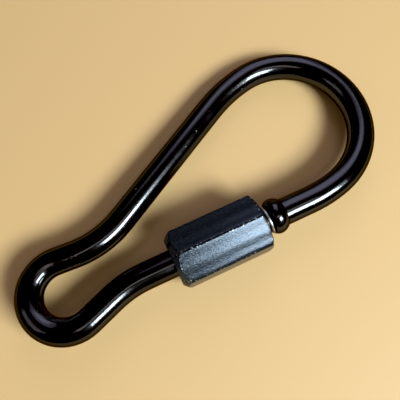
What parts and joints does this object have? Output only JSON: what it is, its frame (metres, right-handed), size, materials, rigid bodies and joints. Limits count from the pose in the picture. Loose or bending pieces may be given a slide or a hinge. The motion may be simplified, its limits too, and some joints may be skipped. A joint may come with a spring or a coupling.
{
  "type": "screw-lock carabiner keyring",
  "caption": "Pear-shaped ring of round black-coated rod with a narrow end loop, closed by a long hexagonal screw nut.",
  "frame": {"origin": "centre of the whole object's box, on the plane that the ring lies in", "axes": "+X from the small loop to the big loop, +Y towards the plain arm and away from the nut, +Z square to the ring"},
  "size_m": [0.08, 0.0346, 0.012],
  "materials": {
    "rod_coat": "gloss black coat, bare steel on the thread",
    "collar_coat": "gloss black coat",
    "nut_coat": "satin black coat, worn bright along the edges",
    "spring_steel": "plain"
  },
  "bodies": {
    "rod": {"bent_rod": "rod_coat", "stop_collar": "collar_coat"},
    "snap_ring": {"snap_ring": "spring_steel"},
    "nut": {"hex_nut": "nut_coat"}
  },
  "joints": [
    {"name": "nut_turn", "type": "hinge", "parent": "rod", "child": "snap_ring", "pos_m": [-0.00273, -0.00915, 0], "axis": [-0.9703, 0.2419, 0], "range_deg": [-540, 2520]},
    {"name": "nut_travel", "type": "slide", "parent": "snap_ring", "child": "nut", "axis": [-0.9703, 0.2419, 0], "range_m": [-0.0015, 0.007]}
  ],
  "couplings": [
    {"joint": "nut_travel", "follows": "nut_turn", "m_per_rad": 0.00015915}
  ]
}
